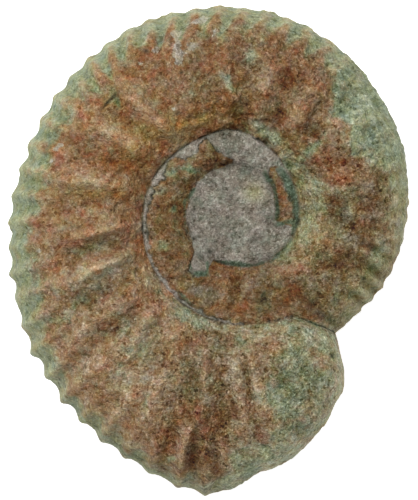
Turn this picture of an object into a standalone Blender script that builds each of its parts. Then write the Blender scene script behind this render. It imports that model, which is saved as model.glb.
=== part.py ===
"""A fossil ammonite that lies on one flank: a single rock, with the broken end of its last whorl low right.

Lengths are in millimetres and angles in degrees until the mesh is made, which is in metres. Angles are
whorl angles round the coiling axis, anticlockwise from above. The last whorl runs from START to END,
where its broken end meets the whorl before it, and one turn earlier is the whorl inside it.
"""

import bpy
import numpy as np
from mathutils import Vector, noise

# Driving dimensions
AXIS_X, AXIS_Y = 4.39, 6.78  # the coiling axis, from the middle of the fossil seen from above
START = -50.5
END = START + 360
HALF_THICKNESS = 12.0  # of the last whorl where it is thickest
THICKEST_ANGLE = 275
THICKNESS_GROWTH = 1.46  # from one whorl to the next
WIDEST_PLACE = 0.75  # of the way from the outer edge to the seam
BLUNTNESS, BREAK_BLUNTNESS = 2.6, 6.0  # of a whorl's round outer edge, and of its broken end
MIDDLE_HEIGHT = 11.07  # of the middle plane on the axis, where the ribs below the ground are worn off
SLOPE_X, SLOPE_Y = -0.009, -0.030  # of the middle plane, because the whorl thins as it lies
TRIANGLES = 9300

# Outer edge without its ribs, and its broken end, as (angle, radius)
OUTER_EDGE = (
    (START, 26.70), (-20, 28.45), (10, 29.93), (40, 31.7), (70, 33.67), (100, 34.9),
    (130, 35.8), (160, 36.45), (190, 38.66), (220, 42.22), (250, 46.3), (264, 48.3),
)
BROKEN_END = (
    (264, 48.35), (269, 47.2), (274.5, 45.0), (280, 43.9), (290, 40.6),
    (298, 36.7), (302, 34.9), (305.5, 31.5), (308, 28.4), (END, 26.70),
)
EDGE_GROWTH = 2.1  # from one turn to the next, where the edge is buried
BREAK_START = 264
SINKING_START = 280  # from here on the broken end comes down to the whorl before it

# Seam where a whorl meets the one inside it: a log spiral, pulled out to the edge at the broken end
SEAM_RADIUS = 11.135  # at angle 0
SEAM_GROWTH = 2.05  # from one turn to the next
SEAM_END = (
    (262, 18.75), (272, 19.25), (288, 19.9), (301.5, 21.4), (305, 23.4), (308, 25.3), (END, 26.70),
)

# Ribs of the outer edge as (angle, number), and the angle of each strong rib at the seam
EDGE_RIBS = ((-52.4, -2), (46.5, 14), (101, 22), (140.5, 28), (183, 34), (227.8, 41), (276.3, 49))
STRONG_RIBS = (
    -58, -40, -17, 12, 36, 58, 78, 94, 113, 131,
    149, 168, 188, 203, 217, 231, 246, 261, 275, 292,
)
INNER_STRONG_RIBS = 18  # on the whorl inside, evenly apart
RIB_LEAN = 4  # of the fine ribs at the top of the shell, from the edge inward

# Heights of the ribs above the mean surface, as (angle, height)
EDGE_RIB_HEIGHT = (
    (-60, 0.08), (70, 0.1), (100, 0.18), (140, 0.3), (200, 0.42), (252, 0.42), (264, 0.28), (272, 0),
)
STRONG_RIB_HEIGHT = (
    (-410, 0.12), (-60, 0.25), (60, 0.35), (130, 0.6), (200, 0.5), (255, 0.4), (290, 0.1),
)

# Sediment that fills the middle of each side, as (radius, level)
FILL_LEVELS = {
    1: ((0, 5.7), (6.5, 5.7), (10, 5.0), (14, 1.0), (18, -15)),
    -1: ((0, 3.9), (5.5, 3.9), (8, 3.2), (12, 0), (16, -15)),
}
FILL_BLEND = 0.04

WEATHERING = ((11.0, 0.30), (4.5, 0.18))  # size and height of the lumps
BREAK_ROUGHNESS = 1.8  # times as uneven, on the broken end

# Grid of points: rings that follow the outer edge, then round ones within INNER_REACH
COLUMNS = 448
OUTER_ROWS = 44
MIDDLE_ROWS = 44
INNER_REACH = 21.5
RING_SHARES = ((0.4, 2), (0.7, 4), (0.85, 8))  # how far into the round ones they have fewer points
EDGE_STEPS, PROFILE_STEPS = 4000, 400  # short steps, to measure lengths along the edge and across it


def curve(points, at):
    """A smooth curve through (place, value) points, level outside them."""
    places, values = np.array(points, float).T
    slopes = np.gradient(values, places)
    at = np.clip(at, places[0], places[-1])
    index = np.clip(np.searchsorted(places, at, side="right") - 1, 0, len(places) - 2)
    step = places[index + 1] - places[index]
    t = (at - places[index]) / step
    bend = t * (1 - t) * step * ((1 - t) * slopes[index] - t * slopes[index + 1])
    return values[index] + (3 - 2 * t) * t * t * (values[index + 1] - values[index]) + bend


def smooth_step(value, low, high):
    t = np.clip((value - low) / (high - low), 0, 1)
    return t * t * (3 - 2 * t)


def edge_radius(angle):
    """Radius of a whorl's outer edge. Before START the edge is buried and only has to be smooth."""
    buried = OUTER_EDGE[0][1] * EDGE_GROWTH ** ((angle - START) / 360)
    whole = curve(OUTER_EDGE, angle)
    broken = curve(BROKEN_END, angle)
    return np.where(angle < START, buried, np.where(angle < BROKEN_END[0][0], whole, broken))


def seam_radius(angle):
    spiral = SEAM_RADIUS * SEAM_GROWTH ** (angle / 360)
    return np.where(angle < SEAM_END[0][0], spiral, curve(SEAM_END, angle))


def half_thickness(angle):
    """Half the thickness of a whorl, which sinks to the whorl before it along the broken end."""
    grown = HALF_THICKNESS * THICKNESS_GROWTH ** ((angle - THICKEST_ANGLE) / 360)
    sinking = np.clip((angle - SINKING_START) / (END - SINKING_START), 0, 1)
    return grown * np.sqrt(1 - sinking**3)


def place_across(angle, radius):
    """0 at a whorl's outer edge, 1 at its seam."""
    edge, seam = edge_radius(angle), seam_radius(angle)
    return np.clip((edge - radius) / np.maximum(edge - seam, 1e-6), 0, 1)


def whorl_at(angle, radius):
    """The angle of the whorl that shows at this place: the last one, or one or more turns before it."""
    for _ in range(3):
        angle = np.where(radius < seam_radius(angle), angle - 360, angle)
    return angle


def flank_height(whorl, radius):
    """Height of a whorl's flank over the middle plane, from its round outer edge to its crown."""
    broken = smooth_step(whorl, BREAK_START, BREAK_START + 24)
    bluntness = BLUNTNESS + (BREAK_BLUNTNESS - BLUNTNESS) * broken
    short_of_crown = np.clip(1 - place_across(whorl, radius) / WIDEST_PLACE, 0, 1)
    return half_thickness(whorl) * np.sqrt(1 - short_of_crown**bluntness)


def bare_height(angle, radius):
    """Height of the whorl that shows: its flank, then a wall down to the whorl before it."""
    whorl = whorl_at(angle, radius)
    foot = flank_height(whorl - 360, seam_radius(whorl))
    down = np.clip((place_across(whorl, radius) - WIDEST_PLACE) / (1 - WIDEST_PLACE), 0, 1)
    flank = flank_height(whorl, radius)
    return foot + (flank - foot) * (1 - down**2)


def surface_height(angle, radius, side):
    """Height of the shell or of the sediment that fills its middle, whichever is higher."""
    bare = bare_height(angle, radius)
    fill = curve(FILL_LEVELS[side], radius)
    return (bare + fill + np.sqrt((bare - fill) ** 2 + FILL_BLEND)) / 2


def shell_shown(angle, radius, side):
    """1 on the bare shell, 0 on the sediment."""
    return smooth_step(bare_height(angle, radius) - curve(FILL_LEVELS[side], radius), -0.1, 0.5)


def rib_wave(number, sharpness):
    """1 on each rib and below 0 between them. A sharper wave has narrower ribs."""
    turn = 2 * np.pi * number
    return (np.cos(turn) + sharpness * np.cos(2 * turn)) / (1 + sharpness)


def rib_height(angle, across):
    """Fine ribs that cross the outer edge and fade inward, and strong ones from there to the seam."""
    lean = RIB_LEAN * smooth_step(angle, 40, 90) * (1 - smooth_step(angle, 120, 150))
    fine_number = np.interp(angle - lean * smooth_step(across, 0, 0.3), *zip(*EDGE_RIBS))
    fine = curve(EDGE_RIB_HEIGHT, angle) * rib_wave(fine_number, 0.2 * smooth_step(angle, 120, 220))
    inner_number = (angle - STRONG_RIBS[0]) / 360 * INNER_STRONG_RIBS
    outer_number = np.interp(angle, STRONG_RIBS, range(len(STRONG_RIBS)))
    strong_number = np.where(angle < STRONG_RIBS[0], inner_number, outer_number)
    strong = curve(STRONG_RIB_HEIGHT, angle) * rib_wave(strong_number, 0.15)
    strong = strong * smooth_step(across, 0.15, 0.5) * (1 - smooth_step(across, 0.8, 0.97))
    return fine * (1 - smooth_step(across, 0.2, 0.5)) + strong


def weathering_at(points, whorl):
    """Low lumps, made from the place in space so that the two sides meet, and rougher on the break."""
    height = np.zeros(whorl.shape)
    for index in np.ndindex(height.shape):
        place = Vector(points[index])
        height[index] = sum(depth * noise.noise(place / size) for size, depth in WEATHERING)
    broken = smooth_step(whorl, BREAK_START, BREAK_START + 12) * (1 - smooth_step(whorl, 300, END))
    return height * (1 + (BREAK_ROUGHNESS - 1) * broken)


def column_angles():
    """Angles of the columns of points, an even step apart along the outer edge."""
    fine = np.linspace(START, END, EDGE_STEPS)
    turn, radius = np.radians(fine), edge_radius(fine)
    length = np.append(0, np.hypot(np.diff(radius * np.cos(turn)), np.diff(radius * np.sin(turn))).cumsum())
    return np.interp(np.linspace(0, length[-1], COLUMNS, endpoint=False), length, fine)[:, None]


def ring_radii(angles, side):
    """Radii of the rings in each column, moved a little so that one of them follows each seam."""
    trial = INNER_REACH + (edge_radius(angles) - INNER_REACH) * (1 - np.linspace(0, 1, PROFILE_STEPS) ** 2)
    heights = surface_height(angles, trial, side)
    heights[:, 0] = 0
    steps = np.hypot(np.diff(trial), np.diff(heights))
    middle_rings = np.linspace(INNER_REACH, 0, MIDDLE_ROWS)
    rings = []
    for angle, radius, step in zip(angles[:, 0], trial, steps):
        length = np.append(0, step.cumsum())
        outer_rings = np.interp(np.linspace(0, length[-1], OUTER_ROWS, endpoint=False), length, radius)
        column = np.append(outer_rings, middle_rings)
        for seam in (seam_radius(angle), seam_radius(angle - 360)):
            nearest = max(1, np.abs(column - seam).argmin())
            share = np.clip(1 - np.abs(np.arange(len(column)) - nearest) / 3, 0, 1)
            column = column + share * (seam - column[nearest])
        rings.append(column)
    return np.array(rings)


def flank_points(side):
    """The points of one side, in columns from the outer edge to the middle, with ribs and weathering."""
    angles = column_angles()
    radii = ring_radii(angles, side)
    heights = surface_height(angles, radii, side)
    heights[:, 0] = 0
    out, up = np.gradient(heights, axis=1), -np.gradient(radii, axis=1)
    out[:, 0], up[:, 0] = 1, 0
    length = np.hypot(out, up)
    turn = np.radians(angles)
    normals = np.stack([out * np.cos(turn), out * np.sin(turn), up * side], axis=-1) / length[..., None]
    points = np.stack([radii * np.cos(turn), radii * np.sin(turn), heights * side], axis=-1)
    whorl = whorl_at(angles, radii)
    ribs = rib_height(whorl, place_across(whorl, radii)) * shell_shown(angles, radii, side)
    raised = ribs + weathering_at(points, whorl)
    return points + normals * raised[..., None]


def ring_counts():
    """Points in each ring: fewer towards the middle, where they would crowd."""
    counts = [COLUMNS] * (OUTER_ROWS + MIDDLE_ROWS)
    for start, share in RING_SHARES:
        for row in range(OUTER_ROWS + round(start * MIDDLE_ROWS), len(counts)):
            counts[row] = COLUMNS // share
    counts[-1] = 1
    return counts


def strip_faces(points, outer, inner):
    """Triangles between a ring of points and the next one in, which has as many points, half, or one."""
    faces = []
    step = len(outer) // len(inner)
    for index, point in enumerate(outer):
        after = outer[(index + 1) % len(outer)]
        low, high = inner[index // step], inner[(index // step + 1) % len(inner)]
        across = (points[point] - points[high]).length < (points[after] - points[low]).length
        if step == 1 and across or step == 2 and index % 2:
            faces.extend([(point, after, high), (point, high, low)])
        elif step == 1:
            faces.extend([(point, after, low), (after, high, low)])
        else:
            faces.append((point, after, low))
    return faces


def fossil_mesh():
    """Both sides as one closed mesh that shares the ring of the outer edge."""
    points, faces = [], []
    for side in (1, -1):
        columns = flank_points(side)
        if side == 1:
            points.extend(Vector(point) for point in columns[:, 0])
        outer = range(COLUMNS)
        for row, count in list(enumerate(ring_counts()))[1:]:
            inner = range(len(points), len(points) + count)
            points.extend(Vector(point) for point in columns[:: COLUMNS // count, row])
            faces.extend(face[::side] for face in strip_faces(points, outer, inner))
            outer = inner
    points = np.array(points)
    points[:, 2] += MIDDLE_HEIGHT + SLOPE_X * points[:, 0] + SLOPE_Y * points[:, 1]
    points[:, :2] += AXIS_X, AXIS_Y
    mesh = bpy.data.meshes.new("ammonite")
    mesh.from_pydata((points / 1000).tolist(), [], faces)
    mesh.shade_smooth()
    return mesh


def stone_material():
    material = bpy.data.materials.new("fossil_stone")
    material.use_nodes = True
    shader = material.node_tree.nodes["Principled BSDF"]
    shader.inputs["Base Color"].default_value = (0.19, 0.145, 0.078, 1)
    shader.inputs["Roughness"].default_value = 0.85
    shader.inputs["Metallic"].default_value = 0
    return material


def ground_cutter():
    """The block that the fossil's lowest ribs are worn flat against."""
    bpy.ops.mesh.primitive_cube_add(size=0.2, location=(0, 0, -0.1))
    block = bpy.context.object
    block.name = "ground_cutter"
    block.hide_render = True
    block.display_type = "WIRE"
    return block


def main():
    for old in list(bpy.data.objects):
        bpy.data.objects.remove(old, do_unlink=True)
    mesh = fossil_mesh()
    mesh.materials.append(stone_material())
    mesh.calc_loop_triangles()
    fossil = bpy.data.objects.new("ammonite", mesh)
    bpy.context.collection.objects.link(fossil)
    thin = fossil.modifiers.new("Decimate", "DECIMATE")
    thin.ratio = TRIANGLES / len(mesh.loop_triangles)
    thin.use_collapse_triangulate = True
    worn = fossil.modifiers.new("Worn flat", "BOOLEAN")
    worn.operation = "DIFFERENCE"
    worn.solver = "EXACT"
    worn.object = ground_cutter()


main()
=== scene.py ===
"""The looks of a fossil ammonite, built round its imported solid: one rock, lying on its flank.

Lengths are in millimetres and angles in degrees until the mesh is made, which is in metres. Angles are
whorl angles round the coiling axis, anticlockwise from above. The last whorl runs from START to END,
where its broken end meets the whorl before it, and one turn earlier is the whorl inside it.
"""

from itertools import product

import bpy
import numpy as np
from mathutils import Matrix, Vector, noise


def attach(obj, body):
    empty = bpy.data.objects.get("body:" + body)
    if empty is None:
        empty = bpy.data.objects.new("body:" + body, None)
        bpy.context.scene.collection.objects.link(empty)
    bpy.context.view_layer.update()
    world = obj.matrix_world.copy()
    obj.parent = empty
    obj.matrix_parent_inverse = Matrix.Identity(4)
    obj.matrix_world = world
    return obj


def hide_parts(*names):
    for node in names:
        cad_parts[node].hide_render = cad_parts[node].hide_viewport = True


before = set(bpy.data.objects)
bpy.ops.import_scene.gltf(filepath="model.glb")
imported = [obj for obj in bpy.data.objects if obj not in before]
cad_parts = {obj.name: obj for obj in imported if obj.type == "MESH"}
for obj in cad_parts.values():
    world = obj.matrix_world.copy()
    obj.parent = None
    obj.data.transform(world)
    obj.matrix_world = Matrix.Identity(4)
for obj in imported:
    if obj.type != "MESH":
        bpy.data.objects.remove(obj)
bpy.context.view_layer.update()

# Driving dimensions, as in the solid
AXIS_X, AXIS_Y = 4.39, 6.78  # the coiling axis, from the middle of the fossil seen from above
START = -50.5
END = START + 360
HALF_THICKNESS = 12.0  # of the last whorl where it is thickest
THICKEST_ANGLE = 275
THICKNESS_GROWTH = 1.46  # from one whorl to the next
WIDEST_PLACE = 0.75  # of the way from the outer edge to the seam
BLUNTNESS, BREAK_BLUNTNESS = 2.6, 6.0  # of a whorl's round outer edge, and of its broken end
WALL_ROUNDNESS = 1.6  # of the wall from a whorl's crown down to its seam
MIDDLE_HEIGHT = 11.07  # of the middle plane on the axis, where the ribs below the ground are worn off
SLOPE_X, SLOPE_Y = -0.009, -0.030  # of the middle plane, because the whorl thins as it lies

# Outer edge without its ribs, and its broken end, as (angle, radius)
OUTER_EDGE = (
    (START, 26.70), (-20, 28.45), (10, 29.93), (40, 31.7), (70, 33.67), (100, 34.9),
    (130, 35.8), (160, 36.45), (190, 38.66), (220, 42.22), (250, 46.3), (264, 48.3),
)
BROKEN_END = (
    (264, 48.35), (269, 47.2), (274.5, 45), (280, 43.9), (290, 40.6),
    (298, 36.7), (302, 34.9), (305.5, 31.5), (308, 28.4), (END, 26.70),
)
EDGE_GROWTH = 2.1  # from one turn to the next, where the edge is buried
BREAK_START = 264
BLUNTING = BREAK_START, BREAK_START + 24  # the angles where the edge turns into the broken end
SINKING_START = 280  # from here on the broken end comes down to the whorl before it

# Seam where the last whorl meets the one inside it, as (angle, radius)
SEAM = (
    (START, 10.2), (-30, 10.7), (0, 11), (28, 11.1), (41, 11.25), (55, 11.9), (73, 12.75), (90, 13.65),
    (99, 13.75), (110, 13.5), (121, 13.55), (142, 14.12), (172, 15.2), (182, 15.45), (202, 16.3),
    (231, 17.5), (250, 18.45), (270, 19.3), (288, 19.9), (301.5, 21.4), (305, 23.4), (308, 25.3),
    (END, 26.70),
)
SEAM_GROWTH = 2.05  # from one turn to the next, further in

# Ribs of the outer edge as (angle, number), and the angle of each strong rib at the seam
EDGE_RIBS = ((-52.4, -2), (46.5, 14), (101, 22), (140.5, 28), (183, 34), (227.8, 41), (276.3, 49))
STRONG_RIBS = (
    -58, -40, -17, 12, 36, 58, 78, 94, 113, 131,
    149, 168, 188, 203, 217, 231, 246, 261, 275, 292,
)
INNER_STRONG_RIBS = 18  # on the whorl inside, evenly apart
RIB_LEAN = 4  # of the fine ribs at the top of the shell, from the edge inward
LEAN_STARTS, LEAN_ENDS = (40, 90), (120, 150)  # the angles where the lean grows and where it fades
SHARPENING = 120, 220  # the angles where the crests of the fine ribs become sharp
FINE_SHARPNESS, STRONG_SHARPNESS = 0.2, 0.15

# Where the ribs begin and end, as shares of the way from the outer edge to the seam
LEAN_REACH = 0, 0.3
FINE_RIB_ENDS = 0.12, 0.42
STRONG_RIB_STARTS, STRONG_RIB_ENDS = (0.15, 0.5), (0.8, 0.97)

# Heights of the ribs above the mean surface, as (angle, height)
EDGE_RIB_HEIGHT = (
    (-60, 0.08), (70, 0.1), (100, 0.18), (140, 0.3), (200, 0.42), (252, 0.42), (264, 0.28), (272, 0),
)
STRONG_RIB_HEIGHT = (
    (-410, 0.12), (-60, 0.25), (60, 0.35), (130, 0.6), (200, 0.5), (255, 0.4), (290, 0.1),
)

# Sediment that fills the middle of each side, as (radius, level)
FILL_LEVELS = {
    1: ((0, 5.7), (6.5, 5.7), (10, 5), (14, 1), (18, -15)),
    -1: ((0, 3.9), (5.5, 3.9), (8, 3.2), (12, 0), (16, -15)),
}
FILL_BLEND = 0.04
SHELL_BLEND = -0.1, 0.5  # from the sediment to the bare shell, by how far the shell rises above it

WEATHERING = ((11, 0.30), (4.5, 0.18))  # size and height of the lumps
BREAK_ROUGHNESS = 1.8  # times as uneven, on the broken end
ROUGH_STARTS, ROUGH_ENDS = (BREAK_START, BREAK_START + 12), (300, END)

# Finer relief than the solid's, as (size, height on the shell, height on the sediment, creased or not).
# Creased lumps have sharp hollows between them.
GRAIN = ((3.6, 0.16, 0.05, 0), (2, 0.36, 0.1, 1), (1.05, 0.22, 0.09, 1), (0.6, 0.07, 0.05, 0))
GRAIN_STRENGTH = (  # by angle
    (START - 60, 1), (START, 1.3), (20, 1.5), (40, 2.1), (100, 1.8), (130, 1), (262, 1.3), (275, 1),
)
CREASE_MEAN = 0.4  # of a creased lump's height, taken off
GRAIN_TWIST, TWIST_SIZE = 0.7, 2.2  # the grain is pushed about, so that it isn't all round
TWIST_SEEDS = 31, 32, 33
RIM_CALM = 0.65  # how much weaker the grain is on the outer rim
RIM_ENDS = 0.04, 0.26  # of the way from the outer edge to the seam
BREAK_RIM_STARTS = BREAK_START - 4, BREAK_START + 8
BREAK_RIM_LOSS = 0.6  # how much of the calm rim the broken end lacks
PIT_SIZE, PIT_DEPTH, PIT_SEED = 1.7, 0.5, 5
PIT_LEVELS = 0.55, 1.0  # of the noise, at a pit's border and at its floor
CRUST_STEP = 0.2  # of the brown crust above the green one under it
CRUST_WARMTH = 0.38, 0.62  # from the green one to the brown one

# Lumps that make other things uneven, as (size, strength, seed)
BORDER_LUMPS = ((1.3, 0.25, 11), (0.6, 0.12, 12))  # the sediment's border
WEAR_LUMPS = ((7, 0.5, 21), (3.5, 0.4, 22))  # the height of the ribs
GRAIN_LUMPS = ((9, 0.5, 23),)  # the strength of the grain
GREEN_LUMPS = ((5, 0.3, 51), (2.4, 0.34, 52), (1.2, 0.26, 53), (0.6, 0.16, 54))  # the green's border
HUE_LUMPS = ((4, 0.6, 55), (1.8, 0.4, 58))
TONGUE_LUMPS = ((6, 1, 56),)  # how far the brown runs out along the ribs
RIM_LUMPS = ((8, 0.2, 57),)  # the width of the green rim
LINE_LUMPS, LINE_MEAN = ((2.5, 1.2, 61),), 0.8  # the darkness of the painted shade in the fine lines

# Sediment seen from above: how far the plug reaches as (angle, radius), and the width of the strip
# that is left along the seam as (angle, width)
PLUG_EDGE = (
    (START, 10.4), (-36, 10.9), (-16, 11.2), (-15, 8), (-14, 7.2), (11, 7.05), (27, 7.3), (43, 7.8),
    (50, 9), (52, 13.5), (91, 13.6), (91.5, 8.3), (106, 7.45), (122, 7.75), (136, 7.6), (153, 7.85),
    (169, 7.95), (184, 8.3), (205, 8.45), (217, 8.8), (226, 9.8), (230, 11.4), (233, 12.8), (240, 13),
    (245.5, 12.3), (246.5, 9.1), (255, 9.1), (276, 9.6), (293, 10), (END, 10.4),
)
STRIP_WIDTH = (
    (START, 0), (-13, 0.3), (-7, 0.7), (2.5, 0.9), (14, 1.35), (27, 1.6), (41, 1.5), (48, 1.7), (52, 3),
    (91, 5.4), (95, 5.1), (101, 4.4), (107, 3.1), (109.5, 2.1), (111, 0.7), (117, 0.75), (120, 1.8),
    (126, 2.05), (134, 1.85), (138.5, 1.05), (142, 1.1), (145, 0.75), (148.5, 1.15), (156.5, 1.65),
    (159, 1.2), (162, 1.35), (164, 0.6), (166, 1.1), (174, 0.8), (195, 1), (205, 0.75), (242, 0.65),
    (262, 0.5), (280, 0),
)
STRIP_UNEVENNESS = 2  # times as uneven as the plug's border
FILL_SPREAD = 2  # on the lower side, how far a place is inside for each millimetre under the sediment
SEDIMENT_RISE = 0.2
SEDIMENT_STEP = -0.15, 0.2  # inside its border, where the sediment begins to rise and has risen
SEDIMENT_BLEND = -0.08, 0.08  # and where its colour does

# Ridges and hollows of the upper side, as (x, y, length, width, turn, height) from its middle
FORMS = (
    (-15.7, 19.9, 5.2, 1, -26, 0.65),  # crests of worn ribs, up left
    (-11.4, 17.7, 3, 0.9, -8, 0.4),
    (-10.4, 23.3, 4.2, 1, -38, 0.55),
    (-20.6, 11.3, 6, 0.8, -4, 0.5),
    (-18.6, 2.9, 5.4, 0.8, 13, 0.7),
    (-21.5, -4.6, 5, 1, 18, 0.35),  # long crest on the left
    (-16.6, -2.2, 4, 0.9, 24, 0.45),
    (-20.5, -13.4, 5, 1.2, 38, 0.4),
    (-14, -8.8, 4.4, 1.1, 36, 0.5),
    (-17.8, -18.6, 5, 1, 40, 0.4),
    (-12.2, -16, 4, 0.9, 58, 0.35),
    (-13, -24.8, 4.4, 0.9, 58, 0.4),
    (-8.2, -22, 4.6, 0.9, 70, 0.55),
    (-9.8, -30.2, 4, 0.9, 68, 0.4),
    (-4.2, -33, 4, 0.7, 80, 0.8),  # ribs at the bottom
    (-2.2, -28.9, 2.6, 0.6, 58, 0.5),
    (-0.6, -21.8, 4.8, 0.6, 86, 0.75),
    (4.3, -21, 4.4, 0.9, 98, 0.4),
    (2.6, -33.6, 3.4, 1, 100, 0.4),
    (-5.6, -26.7, 1.2, 0.8, 0, 0.35),
    (28, 1.5, 2.2, 0.6, -30, 0.4),  # ribs of the edge and the gaps between them, low on the right
    (27.6, -1.2, 2.4, 0.7, -33, 0.6),
    (27.6, -4.8, 2, 0.6, -38, 0.45),
    (25.7, -6.8, 2.6, 0.7, -38, 0.6),
    (24.8, -9.4, 1.8, 0.6, -40, 0.4),
    (28, 0.2, 2.6, 0.6, -29, -0.7),
    (27.6, -3, 2.8, 0.65, -36, -0.75),
    (27.7, -6.3, 2, 0.6, -32, -0.7),
    (25.2, -8.1, 2, 0.6, -42, -0.7),
    (9.8, 28.2, 3.6, 1.2, 80, 0.9),  # lumps in the red crust
    (14.8, 22.4, 2.8, 1.4, 60, 1),
    (17.4, 28.4, 3.4, 1, 62, 0.5),
    (20.6, 24.4, 2.6, 1, 50, 0.45),
    (8, 21.6, 2.4, 1, 80, 0.4),
    (21.2, 20.8, 2.4, 1.4, 50, 0.45),
    (3.5, 27.6, 3, 0.6, -60, 0.5),
    (24, 17.6, 2.6, 1.6, -40, 0.3),  # lower on the right
    (22.5, 12.5, 3.4, 1.6, -10, 0.3),
    (14.2, -3.5, 2.4, 1.1, 0, 0.55),
    (10.8, 18.9, 4.8, 0.6, -42, 0.3),  # beside the seam
    (21, -14.4, 2.6, 2.2, -20, 0.25),  # the lobe
    (19.8, -24.4, 5, 1.6, 84, 0.2),
    (5.2, -23.6, 4.6, 1, 103, 0.3),
    (-19, 15.4, 3.6, 1.3, -8, -0.3),  # hollows between the ribs, left
    (-13.4, 15, 3.6, 1.4, -2, -0.4),
    (-21, 7.6, 5, 1, 5, -0.25),
    (-18.5, 0.6, 5, 1.3, 13, -0.65),
    (-18.4, -7, 5.4, 2.2, 29, -0.45),
    (-14, -11.8, 4.4, 1.4, 38, -0.6),
    (-20, -16.6, 3.6, 0.9, 42, -0.35),
    (-8.8, -17.6, 3.4, 2.6, 60, -0.3),
    (-7.4, -18.8, 2.6, 0.4, 72, -0.5),
    (-2.5, -33.6, 4, 0.8, 86, -0.75),  # bottom
    (-6.5, -30.8, 4.4, 1.2, 78, -0.6),
    (1.4, -34.4, 3.6, 0.8, 90, -0.35),
    (1.8, -26, 4.4, 1.4, 85, -0.4),
    (-3.4, -22.4, 4, 1.2, 80, -0.45),
    (6.3, -20.4, 3.6, 0.6, 100, -0.95),  # furrow beside the lobe
    (7.3, -26, 3.4, 0.7, 103, -0.9),
    (12.8, -22, 3.4, 1.8, 80, -0.4),  # in the lobe
    (15.3, -29.4, 2, 1.9, 20, -0.35),
    (6, 31.4, 2.4, 1.6, 70, -0.15),  # top
    (13.2, 28.2, 3.6, 1, 70, -0.5),
    (12, 21.6, 3, 0.9, 100, -0.6),
    (18.4, 23, 2.6, 0.9, 50, -0.5),
    (17.6, 19.6, 2.2, 1.2, 30, -0.5),
    (5.2, 23, 3, 1.2, 80, -0.5),
    (-16.8, 25, 1.5, 0.3, 45, -0.6),  # the crack
    (-15.2, 25.6, 1.7, 0.6, 100, -0.4),
    (28.2, 25, 3.4, 0.5, -60, -0.35),  # crease in the green field
    (16.9, 16.9, 3.4, 0.9, 38, -0.15),  # valleys that reach out from the wall on the right
    (19, 11, 3.8, 1.1, -6, -0.15),
    (19.4, 3, 4.6, 1.2, 8, -0.15),
    (2.6, -7.4, 2.4, 0.6, 78, 0.35),  # inner whorl
    (6, -6.6, 2.6, 0.6, 68, 0.4),
    (11.4, -4.9, 2, 0.6, 52, 0.45),
    (9.2, -7.8, 1.8, 0.8, 60, -0.25),
    (4.6, -8, 2.4, 0.6, 75, -0.3),
    (0.4, -8.4, 2.2, 0.7, 80, -0.3),
)
SEAM_GROOVE, SEAM_GROOVE_WIDTH = 0.2, 0.24
BORDER_GROOVE, BORDER_GROOVE_WIDTH = 0.22, 0.2
BORDER_GAP = 0.3  # between the seam and the border's groove
CHIPS = ((2.4, 0.28, 41), (1.1, 0.2, 42))  # size, depth and seed of the chips along the broken edge
CHIP_STARTS = BREAK_START + 6, BREAK_START + 14
CHIP_REACH = 1.2  # inward from the edge

# Grid of points on each side: rings along the outer edge, then round ones within INNER_REACH
COLUMNS = 960
ROWS = {1: (112, 108), -1: (64, 60)}
INNER_REACH = 21.5
RING_SHARES = ((0.4, 2), (0.7, 4), (0.85, 8))  # how far into the round ones they have fewer points
SEAM_RINGS = 3  # from the ring that follows a seam to the first one that isn't moved with it
EDGE_STEPS, PROFILE_STEPS = 4000, 400  # short steps, to measure lengths along the edge and across it
TRIANGLES = 196000

# Camera and light, in metres
PIXEL = 0.00017  # of the photograph, at the height of the outer edge
PHOTO_HEIGHT = 500
VIEW_X, VIEW_Y = 0.000085, 0.000085
LENS, SENSOR = 300, 36
LIGHT_PLACE, LIGHT_SIZE, LIGHT_POWER = (-0.3, 0.52, 0.88), 0.6, 9.3
SKY_STRENGTH = 0.45
WHITE = (1, 1, 1, 1)
FLOOR_SIZE, FLOOR_DROP = 6, 0.00002  # just below the worn flats
FLOOR_COLOR, FLOOR_GLOW = (0.86, 0.86, 0.86, 1), 0.8  # the floor is a softly lit table


def curve(points, at):
    """A smooth curve through (place, value) points, level outside them."""
    places, values = np.array(points, float).T
    slopes = np.gradient(values, places)
    at = np.clip(at, places[0], places[-1])
    index = np.clip(np.searchsorted(places, at, side="right") - 1, 0, len(places) - 2)
    step = places[index + 1] - places[index]
    t = (at - places[index]) / step
    bend = t * (1 - t) * step * ((1 - t) * slopes[index] - t * slopes[index + 1])
    return values[index] + (3 - 2 * t) * t * t * (values[index + 1] - values[index]) + bend


def line(points, at):
    """Straight lines through (place, value) points."""
    return np.interp(at, *zip(*points))


def smooth_step(value, low, high):
    """From 0 at low to 1 at high."""
    t = np.clip((value - low) / (high - low), 0, 1)
    return t * t * (3 - 2 * t)


def fade(value, low, high):
    """From 1 at low to 0 at high."""
    return 1 - smooth_step(value, low, high)


def ridge(distance, width):
    """1 on a line, fading to 0 at about its width."""
    return np.exp(-((distance / width) ** 2))


def lumps(points, size, seed):
    """Gradient noise from about -1 to 1 at each point, with lumps of one size."""
    dice = np.random.default_rng(seed)
    order = dice.permutation(256)
    slopes = dice.normal(size=(256, 3))
    place = points / size
    cell = np.floor(place).astype(int)
    part = place - cell
    ease = part**3 * (part * (part * 6 - 15) + 10)
    total = np.zeros(points.shape[:-1])
    for corner in product((0, 1), repeat=3):
        x, y, z = np.moveaxis((cell + corner) & 255, -1, 0)
        slope = slopes[order[(order[(order[x] + y) & 255] + z) & 255]]
        share = np.prod(np.where(corner, ease, 1 - ease), axis=-1)
        total += share * np.sum(slope * (part - corner), axis=-1)
    return total


def layers(points, table, mean=0):
    """Lumps of several sizes, as (size, strength, seed), on top of a mean."""
    for size, strength, seed in table:
        mean = mean + strength * lumps(points, size, seed)
    return mean


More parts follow.
